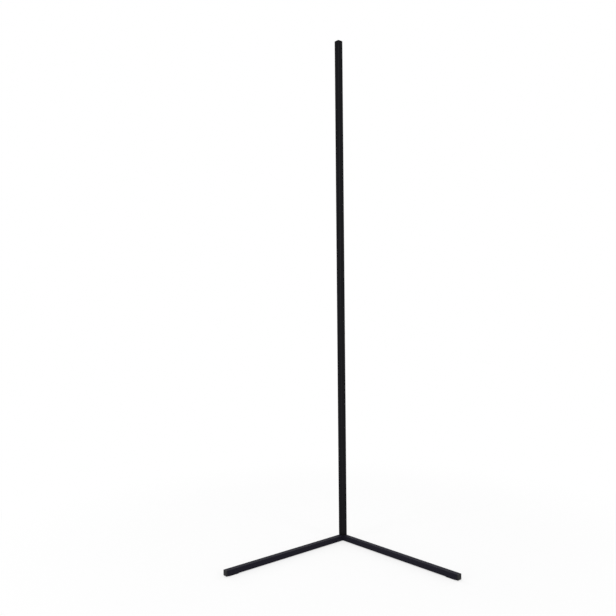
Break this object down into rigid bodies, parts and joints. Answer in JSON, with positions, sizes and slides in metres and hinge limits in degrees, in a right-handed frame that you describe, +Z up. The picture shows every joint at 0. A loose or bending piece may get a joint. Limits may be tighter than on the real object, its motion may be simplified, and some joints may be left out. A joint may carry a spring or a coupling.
{
  "type": "corner floor lamp",
  "caption": "Slim upright light bar for a room's corner on two square floor bars at a right angle, with a rear opal cover, a power inlet and a push button at its foot.",
  "frame": {"origin": "centre of the corner pad's underside, on the floor, on the pole's axis", "axes": "+Z up along the pole; -Y the front, into the room; +Y the rear, into the room's corner, where the light goes; +X to the right seen from the front"},
  "size_m": [0.5714, 0.2921, 1.4],
  "materials": {
    "black_anodised_aluminium": "satin black anodised extrusion",
    "plain_aluminium": "mill finish",
    "black_powder_coat": "fine matt black powder coat",
    "black_plastic": "moulded, fine matt texture",
    "black_rubber": "matt",
    "opal_plastic": "opal, satin",
    "zinc_plated_steel": "bright zinc",
    "nickel_plated_shell": "nickel plated, drawn",
    "adhesive_tape": "white tissue tape",
    "white_strip_board": "white solder mask on flexible board",
    "package_white": "moulded white",
    "lens_resin": "clear resin, pale yellow",
    "chip_black": "moulded epoxy",
    "board_green": "green solder mask",
    "can_aluminium": "drawn can",
    "switch_plastic": "moulded",
    "lead_insulation": "white film over flat copper"
  },
  "bodies": {
    "lamp": {"pole_lower": "black_anodised_aluminium", "pole_middle": "black_anodised_aluminium", "pole_upper": "black_anodised_aluminium", "spline_lower": "plain_aluminium", "spline_upper": "plain_aluminium", "pole_screws": "zinc_plated_steel", "corner_block": "black_powder_coat", "left_leg": "black_powder_coat", "right_leg": "black_powder_coat", "left_leg_plug": "black_plastic", "right_leg_plug": "black_plastic", "leg_screws": "zinc_plated_steel", "corner_pad": "black_rubber", "left_leg_pad": "black_rubber", "right_leg_pad": "black_rubber", "top_cap": "black_plastic", "diffuser": "opal_plastic", "strip_tape": "adhesive_tape", "strip_board": "white_strip_board", "strip_leds": "package_white", "strip_lenses": "lens_resin", "strip_resistors": "chip_black", "foot_cover": "black_plastic", "control_board": "board_green", "board_chips": "chip_black", "board_capacitor": "can_aluminium", "radio_module": "chip_black", "power_socket": "nickel_plated_shell", "socket_tongue": "chip_black", "switch_body": "switch_plastic", "strip_leads": "lead_insulation"},
    "button": {"mode_button": "black_plastic", "switch_plunger": "switch_plastic"}
  },
  "joints": [
    {"name": "button_press", "type": "slide", "parent": "lamp", "child": "button", "axis": [0, -1, 0], "range_m": [0, 0.0004], "stiffness_N_per_m": 800}
  ]
}
